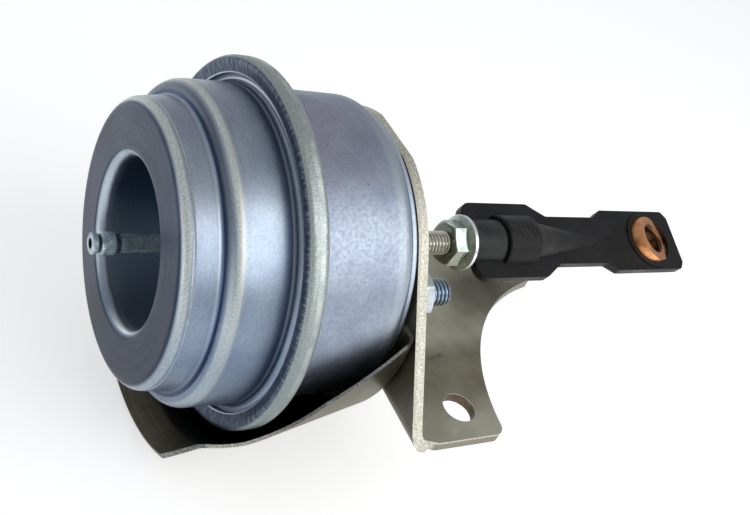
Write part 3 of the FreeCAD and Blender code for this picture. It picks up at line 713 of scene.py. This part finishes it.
def plain_look(name, colour, dark, metallic=1.0, rough=0.35, grain=2500.0, depth=0.03 * mm):
    """Metal or rubber with clouding and grain."""
    look = Look(name)
    clouds = look.patches(120.0, 5.0, 0.65, 0.3, 0.72)
    grains = look.noise(grain, 3.0, 0.6)
    shade = look.mix(clouds, dark, colour)
    shade = look.mix(look.rise(grains, 0.45, 0.7, 0.0, 0.3), shade, dark)
    roughness = look.maths("MULTIPLY_ADD", clouds, 0.15, rough)
    look.set(Base_Color=shade, Metallic=metallic, Roughness=roughness)
    look.set(Normal=look.bump(grains, depth, 0.5))
    return look.material


def finish_with(material, *names):
    for name in names:
        node = nodes[name]
        node.data.materials.clear()
        node.data.materials.append(material)


def add_object(name, data):
    item = bpy.data.objects.new(name, data)
    bpy.context.scene.collection.objects.link(item)
    return item


def bar_mesh(name, rings, screw, centre, material):
    """A bar from (place, radius) rings; screw gives the radius that is left at a place and angle."""
    points = []
    faces = []
    for x, radius in rings:
        for i in range(bar_segments):
            angle = 2 * math.pi * i / bar_segments
            r = screw(radius, x, angle)
            points.append((x, centre.y + r * math.cos(angle), centre.z + r * math.sin(angle)))
    for k in range(len(rings) - 1):
        for i in range(bar_segments):
            j = (i + 1) % bar_segments
            a = k * bar_segments
            faces.append((a + i, a + j, a + bar_segments + j, a + bar_segments + i))
    last = (len(rings) - 1) * bar_segments
    faces.append(tuple(range(bar_segments))[::-1])
    faces.append(tuple(last + i for i in range(bar_segments)))
    mesh = bpy.data.meshes.new(name)
    mesh.from_pydata(points, [], faces)
    mesh.validate()
    mesh.shade_smooth()
    mesh.set_sharp_from_angle(angle=sharp_angle)
    mesh.materials.append(material)
    return mesh


def threaded_bar(name, node, thread_start, material, body):
    """A bar in the place of a CAD node, with a rolled thread from a place along it to its end."""
    low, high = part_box(node)
    step = thread_pitch / thread_rings_per_turn
    count = int((high.x - thread_start) / step)
    rings = [(low.x, thread_radius), (thread_start, thread_radius)]
    rings += [(thread_start + step * (i + 1), thread_radius) for i in range(count)]
    if high.x - rings[-1][0] > least_step:
        rings.append((high.x, thread_end_radius))

    def screw(radius, x, angle):
        if x <= thread_start or x > high.x:
            return radius
        fade = min(1.0, (x - thread_start) / thread_runout)
        turn = (x / thread_pitch - angle / (2 * math.pi)) % 1.0
        dip = max(0.0, 1.0 - abs(turn - 0.5) / valley_half_width)
        to_end = min(radius, thread_end_radius + (high.x - x))
        return min(radius - thread_depth * fade * dip ** valley_roundness, to_end)

    piece = add_object(name, bar_mesh(name, rings, screw, (low + high) / 2, material))
    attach(piece, body)
    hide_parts(node)


def follow_stroke(name, node, material):
    """A copy of a soft node, put on the can's body."""
    source = nodes[node]
    mesh = source.data.copy()
    mesh.transform(source.matrix_world)
    mesh.materials.clear()
    mesh.materials.append(material)
    piece = add_object(name, mesh)
    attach(piece, "can")
    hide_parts(node)
    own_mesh(piece)


def add_camera():
    camera = add_object("camera", bpy.data.cameras.new("camera"))
    turn = Matrix((camera_right, camera_up, camera_backward)).transposed()
    camera.matrix_world = Matrix.Translation(camera_place) @ turn.to_4x4()
    camera.data.sensor_width = sensor_width_mm
    camera.data.lens = camera_lens_mm
    camera.data.clip_start = camera_near
    bpy.context.scene.camera = camera


def add_lamp(name, right, up, backward, size, power):
    """A square soft lamp, placed from the part's middle by the camera's directions and aimed at it."""
    data = bpy.data.lights.new(name, "AREA")
    data.size = size
    data.energy = power
    offset = camera_right * right + camera_up * up + camera_backward * backward
    place = (cad_low + cad_high) / 2 + offset
    turn = (-offset).to_track_quat("-Z", "Y").to_matrix()
    add_object(name, data).matrix_world = Matrix.Translation(place) @ turn.to_4x4()


def add_floor():
    """White floor that keeps a soft shadow, and glows only for the camera and in reflections."""
    look = Look("floor_white")
    look.set(Base_Color=floor_colour, Roughness=0.9, Specular_IOR_Level=0.0)
    rays = look.add("ShaderNodeLightPath").outputs
    seen = look.largest(rays["Is Camera Ray"], rays["Is Glossy Ray"], rays["Is Transmission Ray"])
    look.set(Emission_Color=(1.0, 1.0, 1.0, 1.0), Emission_Strength=look.times(seen, floor_glow))
    half = floor_half_width
    z = cad_low.z - floor_gap
    corners = [(-half, -half, z), (half, -half, z), (half, half, z), (-half, half, z)]
    mesh = bpy.data.meshes.new("floor")
    mesh.from_pydata(corners, [], [(0, 1, 2, 3)])
    mesh.materials.append(look.material)
    floor = add_object("floor", mesh)


def add_sky():
    """A pale even sky that lights the part, with a brighter backdrop where the camera sees it."""
    world = bpy.data.worlds.new("studio")
    world.use_nodes = True
    tree = world.node_tree
    sky = tree.nodes["Background"]
    sky.inputs["Color"].default_value = sky_colour
    sky.inputs["Strength"].default_value = sky_strength
    backdrop = tree.nodes.new("ShaderNodeBackground")
    rays = tree.nodes.new("ShaderNodeLightPath")
    choice = tree.nodes.new("ShaderNodeMixShader")
    tree.links.new(rays.outputs["Is Camera Ray"], choice.inputs["Fac"])
    tree.links.new(sky.outputs[0], choice.inputs[1])
    tree.links.new(backdrop.outputs[0], choice.inputs[2])
    tree.links.new(choice.outputs[0], tree.nodes["World Output"].inputs["Surface"])
    bpy.context.scene.world = world


add_camera()
add_floor()
add_sky()
add_lamp("window", right=0.46, up=0.0, backward=0.34, size=0.52, power=1.75)
add_lamp("left_wall", right=-0.5, up=-0.12, backward=0.25, size=0.4, power=0.8)

inner_steel = plain_look("inner_steel", (0.52, 0.53, 0.54), (0.35, 0.36, 0.37))
guide_bronze = plain_look("guide_bronze", (0.62, 0.48, 0.28), (0.42, 0.31, 0.17))
nut_zinc = plain_look("nut_zinc", (0.92, 0.97, 1.0), (0.52, 0.58, 0.60), rough=0.26, grain=3800.0)
rubber = plain_look("rubber", (0.030, 0.030, 0.032), (0.014, 0.014, 0.015), metallic=0.0, rough=0.6)
spring_steel = plain_look("spring_steel", (0.30, 0.31, 0.33), (0.16, 0.17, 0.18), rough=0.4,
                          grain=1800.0, depth=0.06 * mm)
finish_with(cover_zinc(), "vacuum_cover")
finish_with(rear_zinc(), "rear_can")
finish_with(pipe_zinc(), "vacuum_pipe")
finish_with(shield_steel(), "heat_shield")
finish_with(plate_steel(), "bracket")
finish_with(lock_nut_zinc(), "lock_nut")
finish_with(nut_zinc, "near_stud_nut", "far_stud_nut")
finish_with(forged_black(), "rod_end")
finish_with(ball_bronze(), "eye_ball")
finish_with(inner_steel, "piston_cup", "spring_seat", "diaphragm_retainer", "stud_plate")
finish_with(guide_bronze, "rod_guide")
finish_with(rubber, "dust_seal", "bump_stop")

follow_stroke("spring_coils", "main_spring", spring_steel)
follow_stroke("rolling_diaphragm", "diaphragm", rubber)

rod_steel = thread_metal("rod_steel", "actuator_rod", (1.0, 0.99, 0.94), (0.30, 0.29, 0.25), 0.18)
rod_thread_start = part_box("rod_guide")[1].x + guide_to_thread
threaded_bar("threaded_rod", "actuator_rod", rod_thread_start, rod_steel, "rod")
for side in ("near", "far"):
    stud = side + "_stud"
    stud_zinc = thread_metal(stud + "_zinc", stud, (0.52, 0.64, 0.78), (0.050, 0.085, 0.17), 0.26)
    stud_thread_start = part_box(stud)[1].x - stud_thread_length
    threaded_bar(side + "_threaded_stud", stud, stud_thread_start, stud_zinc, "can")

bpy.context.scene.view_settings.view_transform = "Standard"
